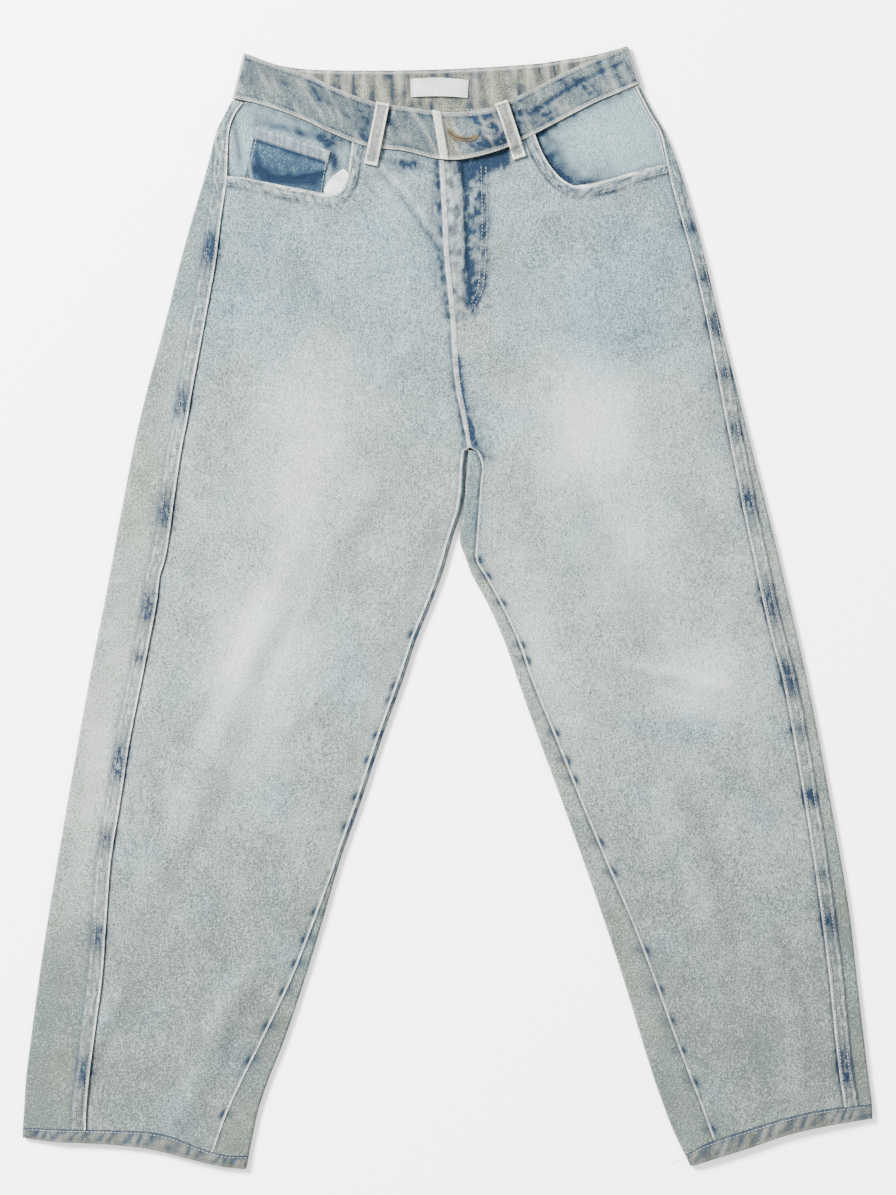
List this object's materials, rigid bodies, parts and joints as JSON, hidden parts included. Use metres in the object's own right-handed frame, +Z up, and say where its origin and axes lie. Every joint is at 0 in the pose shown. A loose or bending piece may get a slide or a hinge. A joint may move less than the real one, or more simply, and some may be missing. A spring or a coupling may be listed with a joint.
{
  "type": "wide-leg jeans laid flat",
  "caption": "Pair of faded wide-leg denim jeans lying flat, front up, with a waistband, fly, scooped pockets, coin pocket, belt loops and turned hems.",
  "frame": {"origin": "on the surface that the jeans lie on, under the middle of their outline", "axes": "+Y towards the waistband, +X towards the wearer's left leg, +Z up out of the front"},
  "size_m": [0.783, 1.0338, 0.0146],
  "materials": {
    "front_denim": "stonewashed, very faded twill",
    "back_denim": "stonewashed, very faded twill",
    "hem_denim": "faded twill, roped and worn",
    "waistband_denim": "faded twill with a cream reverse",
    "pocket_denim": "less faded blue twill",
    "pocketing": "plain white cotton",
    "label_tape": "bare woven tape",
    "button_metal": "worn"
  },
  "bodies": {
    "root": {"front_right": "front_denim", "front_left": "front_denim", "back_right": "back_denim", "back_left": "back_denim", "yoke_right": "back_denim", "yoke_left": "back_denim", "hem_right": "hem_denim", "hem_left": "hem_denim", "waistband": "waistband_denim", "pocket_facing_right": "pocket_denim", "pocket_facing_left": "pocket_denim", "coin_pocket": "pocket_denim", "pocket_bag_right": "pocketing", "fly_shield": "pocket_denim", "belt_loop_right": "waistband_denim", "belt_loop_left": "waistband_denim", "label": "label_tape", "button": "button_metal"}
  },
  "joints": []
}
